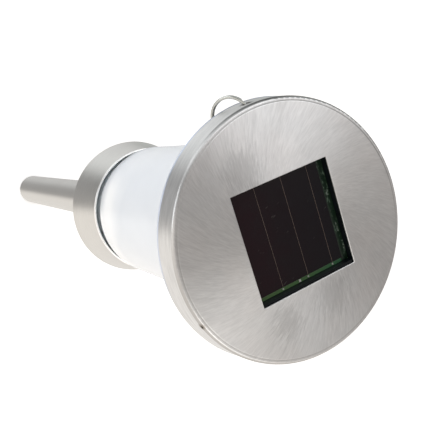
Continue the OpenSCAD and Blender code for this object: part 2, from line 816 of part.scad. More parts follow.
// The door that covers the battery hatch from below.
module battery_door() {
  inner = lug_span - lug_w * 2 - lug_clear * 2;
  plate_y = pin_y + knuckle_r * sqrt(2) + door_gap;
  color([0.09, 0.09, 0.09])
  difference() {
    union() {
      translate([-inner / 2, pin_y, pin_z]) rotate([0, 90, 0]) cylinder(r = knuckle_r, h = inner);
      translate([-inner / 2, pin_y, door_z]) cube([inner, plate_y - pin_y + overrun, door_t]);
      translate([-door_w / 2, plate_y, door_z]) cube([door_w, door_y - plate_y, door_t]);
      translate([-rib_w / 2, door_y - rib_h * 2, door_z - rib_h]) cube([rib_w, rib_h, rib_h + door_t * half]);
    }
    translate([-lug_x, pin_y, pin_z]) rotate([0, 90, 0]) cylinder(r = pin_r + pin_clear, h = lug_span);
  }
}

// The wire ring through the hole in the skirt.
module hanging_ring() {
  color([0.72, 0.7, 0.66])
  rotate([0, 0, ring_hole_turn]) translate([ring_x, 0, ring_z]) rotate([-ring_lean, 0, 0])
  translate([-ring_r * sin(ring_tip), ring_r * cos(ring_tip), 0])
  rotate_extrude() translate([ring_r, 0]) circle(d = wire_d, $fn = 32);
}

pole_tube();
pole_plug();
collar_cup();
glass_pad();
diffuser();
clamp_washer();
clamp_bolt();
cap_shell();
cap_pillars();
foam_gasket();
panel_tray();
panel_board();
solar_cells();
cell_lines();
solder_pads();
head_housing();
rim_seal();
housing_screws();
control_board();
board_screws();
led_bulb();
reflector();
battery();
contact_plates();
panel_leads();
switch_body();
switch_knob();
hinge_pin();
battery_door();
hanging_ring();
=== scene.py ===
# %% [markdown]
# # A solar fence light in brushed steel and opal glass
#
# The light is a steel cap with a square window, a flared opal glass below it,
# a tapered collar that holds the glass, and a plain tube that slips over a pole.
# The solid parts come from the CAD frame and stay exactly where they are. This
# notebook gives them their finishes, draws the split ring, sets the studio light
# and places the camera where the photographer stood. Lengths are in metres, and
# +Z runs up the tube.

# %% Setup
import json
import math

import bmesh
import bpy
import numpy as np
from mathutils import Matrix, Vector


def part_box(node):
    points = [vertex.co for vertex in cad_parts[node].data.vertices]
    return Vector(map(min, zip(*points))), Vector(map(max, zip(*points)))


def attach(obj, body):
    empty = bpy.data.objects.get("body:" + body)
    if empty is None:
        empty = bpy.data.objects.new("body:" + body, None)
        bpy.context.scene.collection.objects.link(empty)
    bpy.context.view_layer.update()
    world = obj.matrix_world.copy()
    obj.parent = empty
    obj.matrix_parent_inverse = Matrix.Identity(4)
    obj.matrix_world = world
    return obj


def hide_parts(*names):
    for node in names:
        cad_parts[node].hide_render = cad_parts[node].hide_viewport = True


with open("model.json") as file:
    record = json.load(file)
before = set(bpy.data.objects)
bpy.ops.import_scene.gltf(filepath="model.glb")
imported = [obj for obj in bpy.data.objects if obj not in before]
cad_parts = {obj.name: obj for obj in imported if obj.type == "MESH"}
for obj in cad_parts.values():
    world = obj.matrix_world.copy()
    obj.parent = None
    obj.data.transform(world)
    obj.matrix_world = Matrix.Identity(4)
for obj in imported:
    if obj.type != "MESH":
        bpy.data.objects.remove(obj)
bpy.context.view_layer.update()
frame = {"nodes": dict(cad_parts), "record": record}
nodes = frame["nodes"]
print("CAD nodes:", len(nodes))

# %% [markdown]
# ## Small helpers for shader work
#
# Every finish here is procedural: noise and simple maths drive colour, roughness
# and bump, so no picture files are needed and the finish holds at any distance.
# The helpers only shorten the making of nodes and links. The first ones make a
# material, add a node to it, and feed a socket with a value or with a link.

# %% Making nodes and links
def fresh(name):
    """A new material with an empty Principled surface, its tree and its shader."""
    mat = bpy.data.materials.new(name)
    mat.use_nodes = True
    tree = mat.node_tree
    tree.nodes.clear()
    out = add(tree, "ShaderNodeOutputMaterial")
    shader = add(tree, "ShaderNodeBsdfPrincipled")
    tree.links.new(shader.outputs["BSDF"], out.inputs["Surface"])
    return mat, tree, shader


def add(tree, kind, **values):
    """Adds a node; values set its attributes."""
    node = tree.nodes.new(kind)
    for key, value in values.items():
        setattr(node, key, value)
    return node


def feed(tree, socket, value):
    """Links the value if it is a socket, and otherwise sets it."""
    if isinstance(value, bpy.types.NodeSocket):
        tree.links.new(value, socket)
    else:
        socket.default_value = value


print("node helpers ready")

# %% [markdown]
# ## Sums and vectors
#
# A shader is a sum written in boxes. These helpers let it be read as a sum: the
# object coordinates of a point come in as x, y and z, and go out as a distance
# from the axis, a turn round it, or a new vector for a noise to be read at.

# %% Sums and vectors
AXIS_GUARD = 0.0005


def maths(tree, op, a, b=0.0):
    """One maths node on two values or sockets."""
    node = add(tree, "ShaderNodeMath", operation=op)
    feed(tree, node.inputs[0], a)
    feed(tree, node.inputs[1], b)
    return node.outputs[0]


def plus(tree, a, b):
    return maths(tree, "ADD", a, b)


def minus(tree, a, b):
    return maths(tree, "SUBTRACT", a, b)


def times(tree, a, b):
    return maths(tree, "MULTIPLY", a, b)


def place(tree):
    """Object coordinates: metres in the shared frame."""
    return add(tree, "ShaderNodeTexCoord").outputs["Object"]


def axes(tree):
    """The x, y and z of the point that is shaded."""
    split = add(tree, "ShaderNodeSeparateXYZ")
    tree.links.new(place(tree), split.inputs[0])
    return split.outputs


def joined(tree, x, y, z=0.0):
    """One vector from three values or sockets."""
    node = add(tree, "ShaderNodeCombineXYZ")
    for socket, value in zip(node.inputs, (x, y, z)):
        feed(tree, socket, value)
    return node.outputs[0]


def measure(tree, op, a, b):
    """One number from two vectors, such as DISTANCE or DOT_PRODUCT."""
    node = add(tree, "ShaderNodeVectorMath", operation=op)
    feed(tree, node.inputs[0], a)
    feed(tree, node.inputs[1], b)
    return node.outputs["Value"]


def polar(tree, x, y):
    """Distance from the axis, and the cosine and sine of the turn round it."""
    r = measure(tree, "DISTANCE", joined(tree, x, y), (0, 0, 0))
    safe = maths(tree, "MAXIMUM", r, AXIS_GUARD)
    return safe, maths(tree, "DIVIDE", x, safe), maths(tree, "DIVIDE", y, safe)


print("sums ready")

# %% [markdown]
# ## Colour, noise and bump
#
# A noise gives a value near the middle of 0 to 1. A ramp turns it into colour, a
# span stretches part of it to any range, and a blend lays one colour over another
# where a mask allows it. Bump only tilts the light, for scratches too fine to model.

# %% Colour, noise and bump
def tinted(colour, share):
    """The colour times one share, or times one for each channel, up to white."""
    shares = share if isinstance(share, tuple) else (share,) * 3
    return tuple(min(1.0, c * k) for c, k in zip(colour, shares))


def ramp(tree, fac, stops):
    """A colour ramp through (position, colour) stops."""
    node = add(tree, "ShaderNodeValToRGB")
    line = node.color_ramp
    while len(line.elements) < len(stops):
        line.elements.new(0.5)
    for element, (position, colour) in zip(line.elements, stops):
        element.position = position
        element.color = (*colour, 1)
    tree.links.new(fac, node.inputs["Fac"])
    return node.outputs["Color"]


def noise(tree, vector, scale, detail=3.0, rough=0.5, w=None):
    """A noise read at the given vector, or at vector and w in four dimensions."""
    node = add(tree, "ShaderNodeTexNoise", noise_dimensions="3D" if w is None else "4D")
    node.inputs["Scale"].default_value = scale
    node.inputs["Detail"].default_value = detail
    node.inputs["Roughness"].default_value = rough
    tree.links.new(vector, node.inputs["Vector"])
    if w is not None:
        tree.links.new(w, node.inputs["W"])
    return node.outputs["Fac"]


def span(tree, value, low, high, to_low=0.0, to_high=1.0, smooth=False):
    """Maps low..high to to_low..to_high, held at both ends."""
    node = add(tree, "ShaderNodeMapRange", interpolation_type="SMOOTHSTEP" if smooth else "LINEAR")
    for name, v in (("From Min", low), ("From Max", high), ("To Min", to_low), ("To Max", to_high)):
        node.inputs[name].default_value = v
    tree.links.new(value, node.inputs["Value"])
    return node.outputs["Result"]


def lift(tree, fac, low, high):
    """Maps the middle of a noise to the range low..high."""
    return span(tree, fac, 0.25, 0.75, low, high)


def blend(tree, fac, a, b):
    """Mixes two colours; each may be a tuple or a socket."""
    node = add(tree, "ShaderNodeMix", data_type="RGBA")
    tree.links.new(fac, node.inputs["Factor"])
    for at, v in ((6, a), (7, b)):
        feed(tree, node.inputs[at], (*v, 1) if isinstance(v, tuple) else v)
    return node.outputs[2]


def bump(tree, shader, height, strength, distance, base=None):
    """Tilts the shading normal, or the given one, by the height value."""
    node = add(tree, "ShaderNodeBump")
    if base is not None:
        tree.links.new(base, node.inputs["Normal"])
    node.inputs["Strength"].default_value = strength
    node.inputs["Distance"].default_value = distance
    tree.links.new(height, node.inputs["Height"])
    tree.links.new(node.outputs["Normal"], shader.inputs["Normal"])


print("colour helpers ready")

# %% [markdown]
# ## Brushed steel
#
# Spun parts are brushed while they turn, so the scratches run round the axis. A
# noise that changes fast along the radius and the height but slowly with the turn
# gives those fine rings. The highlight of such a surface is stretched across the
# scratches, which is what the anisotropy value does, with the tangent taken round
# Z. Little light gets into the narrow gap beside the glass, so the collar's inner
# wall is painted pale and not metallic as painted light, and its rolled lip gets a
# painted highlight band.

# %% Brushed steel
looks = {}
LIP_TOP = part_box("collar_cup")[1][2]
# painted highlight band near the top of the collar's lip
LIP_HIGHLIGHT_BAND = (LIP_TOP - 0.0016, LIP_TOP - 0.0008)
LIP_PAINTED_HIGHLIGHT = (0.97, 0.97, 0.96)


def brush_shine(tree, shader, aniso):
    """Full metal with a highlight stretched across scratches that run round Z."""
    shader.inputs["Metallic"].default_value = 1.0
    shader.inputs["Anisotropic"].default_value = aniso
    shader.inputs["Anisotropic Rotation"].default_value = 0.25
    tangent = add(tree, "ShaderNodeTangent", direction_type="RADIAL", axis="Z")
    tree.links.new(tangent.outputs[0], shader.inputs["Tangent"])


def facing_in(tree, x, y):
    """1 where the wall faces the axis, 0 elsewhere."""
    normal = add(tree, "ShaderNodeNewGeometry").outputs["Normal"]
    return span(tree, measure(tree, "DOT_PRODUCT", joined(tree, x, y), normal), -0.012, -0.022)


def brushed(name, colour, rough, aniso, fine, turns, depth, swing=0.05, inside=None):
    """Steel brushed round the Z axis; inside is a pale colour painted on the inner wall as painted
    light.
    """
    mat, tree, shader = fresh(name)
    x, y, z = axes(tree)
    r, c, s = polar(tree, x, y)
    ring = joined(tree, times(tree, c, turns), times(tree, s, turns), times(tree, r, fine))
    lines = noise(tree, ring, 1.0, 4.0, 0.65, times(tree, z, fine))
    cloud = noise(tree, place(tree), 38.0, 3.0)
    mixed = plus(tree, times(tree, lines, 0.7), times(tree, cloud, 0.3))
    tint = ramp(tree, mixed, [(0.32, tinted(colour, 1 - swing)), (0.68, tinted(colour, 1 + swing))])
    brush_shine(tree, shader, aniso)
    # painted light: the wall that faces the axis is painted pale and not metallic
    if inside:
        within = facing_in(tree, x, y)
        tint = blend(tree, within, tint, inside)
        # painted highlight: a pale band just below the top of the lip
        tint = blend(tree, span(tree, z, *LIP_HIGHLIGHT_BAND), tint, LIP_PAINTED_HIGHLIGHT)
        tree.links.new(minus(tree, 1.0, within), shader.inputs["Metallic"])
    tree.links.new(tint, shader.inputs["Base Color"])
    tree.links.new(lift(tree, mixed, rough - 0.05, rough + 0.05), shader.inputs["Roughness"])
    bump(tree, shader, lines, 0.12, depth)
    return mat


# the last colour is painted light on the collar's inner wall
looks["brushed_collar"] = brushed(
    "brushed_collar", (0.66, 0.65, 0.63), 0.33, 0.6, 2400, 10, 0.00004, 0.09, (0.90, 0.96, 1.00))
looks["brushed_tube"] = brushed("brushed_tube", (0.64, 0.63, 0.61), 0.33, 0.5, 2200, 8, 0.00003)
looks["turned_steel"] = brushed("turned_steel", (0.58, 0.58, 0.57), 0.28, 0.5, 3200, 6, 0.00002)
print("brushed finishes:", sorted(looks))

# %% [markdown]
# ## Strokes on the cap
#
# The face of the cap was rubbed outward by hand, in short strokes that lean a
# little. A spiral of constant lean is a straight line once the radius is written
# as its logarithm, so the noise is read in those coordinates: narrow round the
# turn, long outward. Three such noises make hairlines, wider streaks and the broad
# bright and dark sectors that look like a bow tie.

# %% Strokes on the cap
STROKE_LEAN = math.tan(math.radians(28))
LAYERS = 2600


def swept(tree, r, c, s):
    """The turn with the lean of the strokes taken out, and the radius as a logarithm."""
    out = maths(tree, "LOGARITHM", r, math.e)
    bend = times(tree, out, STROKE_LEAN)
    cb, sb = maths(tree, "COSINE", bend), maths(tree, "SINE", bend)
    cu = minus(tree, times(tree, c, cb), times(tree, s, sb))
    su = plus(tree, times(tree, s, cb), times(tree, c, sb))
    return cu, su, out


def strokes(tree, sweep, z, across, along, detail, rough, shift):
    """A noise that is narrow round the turn and long outward."""
    cu, su, out = sweep
    away = plus(tree, times(tree, out, along), shift)
    at = joined(tree, times(tree, cu, across), times(tree, su, across), away)
    return noise(tree, at, 1.0, detail, rough, times(tree, z, LAYERS))


print("strokes ready")

# %% [markdown]
# ## Clouds and darker patches on the cap
#
# Bare steel keeps faint warm and cool clouds, and the face has a few darker
# patches. The clouds are one slow noise used twice. The patches are soft discs
# whose edge is broken up by the strokes, so that it is not sharp.

# %% Clouds and darker patches on the cap
CAP_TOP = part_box("cap_shell")[1][2]
WARM, COOL, CLOUD = (1.03, 0.99, 0.985), (0.96, 0.985, 1.01), 0.22
# x, y and radius of each darker patch
DARK_PATCHES = ((-0.0160, 0.0350, 0.013), (0.0090, -0.0355, 0.013), (-0.0170, -0.0370, 0.010))


def clouded(tree, face, colour):
    """Lays the warm and the cool clouds over the face."""
    slow = span(tree, noise(tree, place(tree), 42.0, 2.0), 0.35, 0.65)
    face = blend(tree, span(tree, slow, 0.0, 1.0, 0.0, CLOUD), face, tinted(colour, WARM))
    return blend(tree, span(tree, slow, 1.0, 0.0, 0.0, CLOUD), face, tinted(colour, COOL))


def darkened_patches(tree, face, colour, x, y, marks):
    """Lays the darker patches over the face."""
    ragged = times(tree, minus(tree, marks, 0.5), 0.03)
    for px, py, size in DARK_PATCHES:
        far = plus(tree, measure(tree, "DISTANCE", joined(tree, x, y), (px, py, 0)), ragged)
        mask = span(tree, far, size, size * 0.25, 0.0, 0.42, smooth=True)
        face = blend(tree, mask, face, tinted(colour, 0.66))
    return face


print("cap clouds and patches ready")

# %% [markdown]
# ## Skirt, rim and hem
#
# The skirt keeps the rings of the spinning tool, so its noise follows the height.
# Over the round of the rim, painted shade lays a dark line on one side and a dimmer
# one on the other, and the cut edge at the hem gets a painted blue reflection on one
# side. Each is a band in height, and a direction round the cap says where it is strong.

# %% Skirt, rim and hem
SKIRT_BAND = (CAP_TOP - 0.0022, CAP_TOP - 0.0010)
ROUND_START = (CAP_TOP - 0.0018, CAP_TOP - 0.0014)
ROUND_END = (CAP_TOP - 0.00003, CAP_TOP - 0.00025)
HEM_BAND = (CAP_TOP - 0.0136, CAP_TOP - 0.0126)
# painted shade on the round of the rim, dark and dimmer, and a painted blue reflection on the hem
RIM_PAINTED_SHADE, RIM_PAINTED_DIMMING, HEM_PAINTED_REFLECTION = (0.13, 0.135, 0.13), (0.45, 0.44, 0.43), (0.62, 0.69, 0.84)


def toward_rim_shade(tree, c, s):
    """1 toward the rim's dark painted shade, -1 opposite, where the painted dimming is."""
    return plus(tree, times(tree, s, 0.80), times(tree, c, 0.60))


def skirted(tree, face, colour, c, s, z):
    """Lays the tool's rings over the skirt."""
    hoop = joined(tree, times(tree, c, 5.0), times(tree, s, 5.0), times(tree, z, 620.0))
    rings = noise(tree, hoop, 1.0, 4.0, 0.6)
    skirt = ramp(tree, rings, [(0.34, tinted(colour, 0.87)), (0.66, tinted(colour, 1.12))])
    return blend(tree, span(tree, z, *SKIRT_BAND, 0.7, 0.0), face, skirt)


def rimmed(tree, face, toward, y, z):
    """Lays painted shade over the round of the rim, dark on one side and dimmer on the other, and a
    painted blue reflection over the hem.
    """
    over = times(tree, span(tree, z, *ROUND_START), span(tree, z, *ROUND_END))
    # painted shade: the round of the rim is dimmed on one side and darkened on the other
    dull = times(tree, over, span(tree, toward, -0.1, -0.6, 0.0, 0.85))
    dark = times(tree, over, span(tree, toward, 0.25, 0.85, 0.0, 0.9))
    face = blend(tree, dull, face, RIM_PAINTED_DIMMING)
    face = blend(tree, dark, face, RIM_PAINTED_SHADE)
    # painted reflection: a blue band on the hem, on one side only
    hem = times(tree, span(tree, z, *HEM_BAND, 0.8, 0.0), span(tree, y, -0.010, 0.008))
    return blend(tree, hem, face, HEM_PAINTED_REFLECTION)


print("skirt and rim ready")

# %% [markdown]
# ## Painted shadow, dark spot and groove
#
# A painted shadow darkens the skirt round the ring hole, and a darker brownish
# spot sits at one drain notch; each is drawn as a soft ball of colour. The fine
# groove just inside the rim was rubbed nearly flat, so its walls hardly tilt the
# light: there the normal is turned back toward straight up.

# %% Painted shadow, dark spot and groove
GROOVE_R = 0.0581
GROOVE_HALF = 0.0006
GROOVE_DEPTH = 0.0004
CAP_R = 0.0600
# turn in degrees, drop below the cap face, reach, strength and colour
# painted shadow round the ring hole, and a darker brownish spot at a drain notch
HOLE_PAINTED_SHADOW = (92.0, 0.0060, 0.0038, 0.95, (0.03, 0.03, 0.03))
NOTCH_DARK_SPOT = (200.0, 0.0011, 0.0024, 0.75, (0.20, 0.17, 0.14))


def on_cap(turn, radius, drop):
    """A point at a turn in degrees, a radius and a drop below the cap face."""
    angle = math.radians(turn)
    return radius * math.cos(angle), radius * math.sin(angle), CAP_TOP - drop


def shadow_and_spot(tree, face):
    """Lays a painted shadow round the ring hole and a darker spot at the notch."""
    for turn, drop, reach, most, spot_colour in (HOLE_PAINTED_SHADOW, NOTCH_DARK_SPOT):
        far = measure(tree, "DISTANCE", place(tree), on_cap(turn, CAP_R, drop))
        face = blend(tree, span(tree, far, reach, reach * 0.3, 0.0, most, smooth=True), face, spot_colour)
    return face


def groove_normal(tree, r, z, toward):
    """The surface normal, turned upward inside the groove."""
    near = maths(tree, "LESS_THAN", maths(tree, "ABSOLUTE", minus(tree, r, GROOVE_R)), GROOVE_HALF)
    high = maths(tree, "GREATER_THAN", z, CAP_TOP - GROOVE_DEPTH)
    calm = add(tree, "ShaderNodeMix", data_type="VECTOR")
    strength = times(tree, times(tree, near, high), span(tree, toward, -0.1, -0.6, 0.9, 1.0))
    tree.links.new(strength, calm.inputs["Factor"])
    tree.links.new(add(tree, "ShaderNodeNewGeometry").outputs["Normal"], calm.inputs[4])
    calm.inputs[5].default_value = (0, 0, 1)
    return calm.outputs[1]


print("dark_spots at", HOLE_PAINTED_SHADOW[0], "and", NOTCH_DARK_SPOT[0], "degrees")

# %% [markdown]
# ## The cap's finish
#
# Now the layers go on in this order: rubbing, then the clouds and darker patches,
# then the skirt, the rim's painted shade, and the painted shadow and dark spot last.

# %% The cap's finish
def cap_finish(name, colour, rough, aniso, depth):
    """Steel whose face was rubbed outward in short, slightly bent strokes."""
    mat, tree, shader = fresh(name)
    x, y, z = axes(tree)
    r, c, s = polar(tree, x, y)
    sweep = swept(tree, r, c, s)
    fine = strokes(tree, sweep, z, 95, 13, 3.0, 0.6, 0.0)
    wide = strokes(tree, sweep, z, 34, 7, 2.0, 0.5, 7.0)
    sector = strokes(tree, sweep, z, 3.2, 2.2, 3.0, 0.55, 3.0)
    marks = plus(tree, times(tree, fine, 0.6), times(tree, wide, 0.4))
    mixed = plus(tree, times(tree, marks, 0.68), times(tree, sector, 0.32))
    face = ramp(tree, mixed, [(0.34, tinted(colour, 0.80)), (0.66, tinted(colour, 1.18))])
    face = clouded(tree, face, colour)
    face = darkened_patches(tree, face, colour, x, y, marks)
    face = skirted(tree, face, colour, c, s, z)
    toward = toward_rim_shade(tree, c, s)
    face = rimmed(tree, face, toward, y, z)
    tree.links.new(shadow_and_spot(tree, face), shader.inputs["Base Color"])
    tree.links.new(lift(tree, sector, rough + 0.05, rough - 0.05), shader.inputs["Roughness"])
    brush_shine(tree, shader, aniso)
    bump(tree, shader, marks, 0.8, depth, groove_normal(tree, r, z, toward))
    return mat


looks["brushed_cap"] = cap_finish("brushed_cap", (0.70, 0.70, 0.70), 0.34, 0.75, 0.00005)
print("cap finish made")

# %% [markdown]
# ## Plain metals
#
# The ring is drawn wire, so it is smoother than the sheet and only a little
# clouded. Screws, contacts and the small reflector are plated. One recipe with a
# colour, a roughness and the size of its clouds does for all of them.

# %% Plain metals
def plated(name, colour, rough, grain, swing=0.08):
    """Smooth metal, slightly clouded."""
    mat, tree, shader = fresh(name)
    n = noise(tree, place(tree), grain, 4.0)
    tint = ramp(tree, n, [(0.35, tinted(colour, 1 - swing)), (0.65, colour)])
    tree.links.new(tint, shader.inputs["Base Color"])
    tree.links.new(lift(tree, n, rough * 0.8, rough * 1.25), shader.inputs["Roughness"])
    shader.inputs["Metallic"].default_value = 1.0
    bump(tree, shader, n, 0.08, 0.00002)
    return mat


looks["wire_steel"] = plated("wire_steel", (0.50, 0.51, 0.49), 0.24, 500)
looks["zinc_screws"] = plated("zinc_screws", (0.72, 0.72, 0.70), 0.25, 700)
looks["spring_plate"] = plated("spring_plate", (0.74, 0.73, 0.70), 0.22, 600)
looks["bright_reflector"] = plated("bright_reflector", (0.88, 0.88, 0.87), 0.12, 300, 0.03)
print("plain metals made")

# %% [markdown]
# ## Opal glass
#
# The diffuser is white all through and acid frosted, so light is scattered inside
# the wall and only a broad, soft highlight is left on the outside. Subsurface
# scattering of a few millimetres does the first, a medium roughness the second.
# The body is a little blue. Painted light makes it whiter low down and along one
# side, a painted grey shade climbs out of the collar on one side, and the neck
# inside the collar is painted bright as painted light.

# %% Opal glass
# painted light and shade on the glass: a whiter zone, a grey near the collar and a bright neck
OPAL_DARK, OPAL_LIGHT, OPAL_PAINTED_LIGHT = (0.660, 0.692, 0.742), (0.712, 0.740, 0.782), (0.850, 0.862, 0.880)
PAINTED_SHADE_GREY, NECK_PAINTED_LIGHT = (0.24, 0.27, 0.31), (0.93, 0.97, 1.00)
PAINTED_LIGHT_BAND, PAINTED_LIGHT_SIDE, PAINTED_LOW_LIGHT_SIDE = (0.376, 0.402), (0.036, 0.024), (0.012, -0.030)
SHADE_BAND, SHADE_SIDE = (LIP_TOP + 0.008, LIP_TOP + 0.024), (0.008, 0.020)
NECK_BAND = (LIP_TOP + 0.012, LIP_TOP + 0.008)


def opal_colour(tree, n, y, z):
    """The tint of the glass with painted light and shade over it; n is a slow noise that blurs the edge
    of the whiter painted light.
    """
    body = ramp(tree, n, [(0.3, OPAL_DARK), (0.7, OPAL_LIGHT)])
    # painted light: whiter low down and toward one side
    white = span(tree, plus(tree, z, times(tree, n, 0.05)), *PAINTED_LIGHT_BAND, 1.0, 0.0, smooth=True)
    white = times(tree, white, span(tree, y, *PAINTED_LIGHT_SIDE, smooth=True))
    low = span(tree, y, *PAINTED_LOW_LIGHT_SIDE, 0.0, 0.6, smooth=True)
    body = blend(tree, maths(tree, "MAXIMUM", white, low), body, OPAL_PAINTED_LIGHT)
    # painted shade: grey on one side just above the collar
    shade = span(tree, z, *SHADE_BAND, 0.75, 0.0, smooth=True)
    shade = times(tree, shade, span(tree, y, *SHADE_SIDE, smooth=True))
    body = blend(tree, shade, body, PAINTED_SHADE_GREY)
    # painted light: the neck inside the collar is painted bright
    return blend(tree, span(tree, z, *NECK_BAND), body, NECK_PAINTED_LIGHT)


def opal():
    """Frosted opal glass."""
    mat, tree, shader = fresh("opal_glass")
    _, y, z = axes(tree)
    n = noise(tree, place(tree), 25.0, 2.0)
    tree.links.new(opal_colour(tree, n, y, z), shader.inputs["Base Color"])
    fine = noise(tree, place(tree), 3500.0, 2.0)
    tree.links.new(lift(tree, fine, 0.17, 0.23), shader.inputs["Roughness"])
    shader.inputs["Subsurface Weight"].default_value = 0.5
    shader.inputs["Subsurface Radius"].default_value = (1.0, 1.0, 1.0)
    shader.inputs["Subsurface Scale"].default_value = 0.004
    shader.inputs["IOR"].default_value = 1.5
    bump(tree, shader, fine, 0.05, 0.00002)
    return mat


looks["opal_glass"] = opal()
print("opal glass made")

# %% [markdown]
# ## Moulded, printed and soft finishes
#
# Black plastic, rubber, foam, boards and the battery sleeve share one recipe:
# a slightly clouded colour, a roughness that wanders a little, and a fine grain.
# The wall of the recess round the panel is the same plastic, painted darker and a
# little blue as painted shade in the recess, and smoother, and it mirrors very little.

# %% Plastics, boards and rubber
def moulded(name, colour, rough, grain, swing=0.2, depth=0.00003, coat=0.0, shine=0.5):
    """Plastic, rubber, foam or board."""
    mat, tree, shader = fresh(name)
    n = noise(tree, place(tree), grain, 4.0)
    tint = ramp(tree, n, [(0.3, tinted(colour, 1 - swing)), (0.7, tinted(colour, 1 + swing))])
    tree.links.new(tint, shader.inputs["Base Color"])
    tree.links.new(lift(tree, n, rough * 0.9, rough * 1.1), shader.inputs["Roughness"])
    shader.inputs["Coat Weight"].default_value = coat
    shader.inputs["Specular IOR Level"].default_value = shine
    bump(tree, shader, n, 0.15, depth)
    return mat


looks["black_plastic"] = moulded("black_plastic", (0.012, 0.012, 0.013), 0.45, 900)
# painted shade: the recess wall is the black plastic painted darker
looks["recess_black"] = moulded("recess_black", (0.004, 0.006, 0.008), 0.3, 260, 0.35, shine=0.16)
looks["black_rubber"] = moulded("black_rubber", (0.02, 0.02, 0.02), 0.75, 700)
looks["black_foam"] = moulded("black_foam", (0.015, 0.015, 0.015), 0.9, 1800, 0.4, 0.0001)
looks["white_plastic"] = moulded("white_plastic", (0.82, 0.82, 0.79), 0.4, 900, 0.04)
looks["green_board"] = moulded("green_board", (0.022, 0.085, 0.028), 0.3, 1400, 0.45, 0.00003, 0.3)
looks["battery_sleeve"] = moulded("battery_sleeve", (0.08, 0.32, 0.16), 0.3, 300, 0.06)
looks["lead_sheath"] = moulded("lead_sheath", (0.35, 0.02, 0.02), 0.4, 900, 0.1)
looks["line_print"] = moulded("line_print", (0.105, 0.072, 0.060), 0.5, 1800, 0.3)
looks["bulb_resin"] = moulded("bulb_resin", (0.85, 0.84, 0.72), 0.1, 400, 0.04)
print("moulded finishes made")

# %% [markdown]
# ## Panel board and solder
#
# The solder mask of the panel is painted olive, as painted light, where the window
# lights it, and darker green along the right margin, where the tinned copper shows
# through in flecks.
# The solder on the lower strip is pale and full. On the right margin only dull
# flecks of it are seen, so one material changes its tint with the place.

# %% Panel board and solder
BOARD_SPAN, MARGIN_EDGE, FLECK_EDGE = (-0.026, 0.024), (0.0218, 0.0224), (0.0205, 0.0210)
MARGIN_DARK, MARGIN_FLECK = (0.0035, 0.017, 0.007), (0.15, 0.22, 0.17)


def panel():
    """The board under the cells."""
    mat, tree, shader = fresh("panel_green")
    x, y, _ = axes(tree)
    grain = noise(tree, place(tree), 1400.0, 4.0)
    # painted light: lighter olive to the left where the window lights the board, darker green toward the
    # right
    along = ramp(tree, span(tree, x, *BOARD_SPAN), [
        (0.0, (0.085, 0.165, 0.055)),
        (0.6, (0.060, 0.150, 0.050)),
        (1.0, (0.022, 0.135, 0.055)),
    ])
    at = joined(tree, times(tree, x, 1000), times(tree, y, 260))
    flecks = span(tree, noise(tree, at, 1.0, 4.0, 0.65), 0.56, 0.64)
    margin = blend(tree, flecks, MARGIN_DARK, MARGIN_FLECK)
    tint = blend(tree, span(tree, x, *MARGIN_EDGE), along, margin)
    worn = blend(tree, times(tree, grain, 0.25), tint, (0.01, 0.02, 0.01))
    tree.links.new(worn, shader.inputs["Base Color"])
    tree.links.new(lift(tree, grain, 0.26, 0.34), shader.inputs["Roughness"])
    bump(tree, shader, grain, 0.1, 0.00002)
    return mat


def solder():
    """Pale blobs on the lower strip, only dull flecks on the right margin."""
    mat, tree, shader = fresh("solder")
    n = noise(tree, place(tree), 900.0, 3.0)
    blob = ramp(tree, n, [(0.3, (0.36, 0.37, 0.33)), (0.7, (0.56, 0.58, 0.55))])
    fleck = ramp(tree, n, [(0.42, (0.004, 0.020, 0.008)), (0.62, (0.20, 0.25, 0.21))])
    tint = blend(tree, span(tree, axes(tree)[0], *FLECK_EDGE), blob, fleck)
    tree.links.new(tint, shader.inputs["Base Color"])
    tree.links.new(lift(tree, n, 0.3, 0.4), shader.inputs["Roughness"])
    bump(tree, shader, n, 0.1, 0.00002)
    return mat


looks["panel_green"] = panel()
looks["solder"] = solder()
print("panel and solder made")

# %% [markdown]
# ## Cell film
#
# Thin film cells look almost black with a wine red tint that fades to the right,
# under a smooth clear layer. A few hair scratches come from a noise stretched
# along one direction, of which only the highest values are kept.

# %% Cell film
SCRATCH_COS, SCRATCH_SIN = 0.94, 0.34
SCRATCH_TINT = (0.07, 0.065, 0.062)


def scratches(tree, x, y):
    """1 on a few long, thin scratches, 0 elsewhere."""
    over = minus(tree, times(tree, y, SCRATCH_COS), times(tree, x, SCRATCH_SIN))
    along = plus(tree, times(tree, x, SCRATCH_COS), times(tree, y, SCRATCH_SIN))
    at = joined(tree, times(tree, over, 1900), times(tree, along, 210))
    hair = noise(tree, at, 1.0, 1.0)
    patch = noise(tree, place(tree), 75.0, 1.0)
    return span(tree, plus(tree, hair, times(tree, minus(tree, patch, 0.55), 0.5)), 0.76, 0.84)


def film():
    """The film of the solar cells."""
    mat, tree, shader = fresh("cell_film")
    x, y, _ = axes(tree)
    n = noise(tree, place(tree), 220.0, 3.0)
    across = plus(tree, times(tree, x, 14), times(tree, n, 0.3))
    tint = ramp(tree, plus(tree, across, 0.4), [
        (0.1, (0.0150, 0.0032, 0.0066)),
        (0.5, (0.0075, 0.0034, 0.0056)),
        (0.9, (0.0042, 0.0034, 0.0056)),
    ])
    tree.links.new(blend(tree, scratches(tree, x, y), tint, SCRATCH_TINT), shader.inputs["Base Color"])
    tree.links.new(lift(tree, n, 0.18, 0.26), shader.inputs["Roughness"])
    shader.inputs["IOR"].default_value = 1.45
    shader.inputs["Specular IOR Level"].default_value = 0.26
    bump(tree, shader, n, 0.05, 0.00002)
    return mat


looks["cell_film"] = film()
print("cell film made")

# %% [markdown]
# ## Giving each solid its finish
#
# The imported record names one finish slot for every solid, so a small loop hands
# out the materials. The board and the tray of the panel are seen in the window,
# so they get finishes of their own. The solids themselves are left alone.

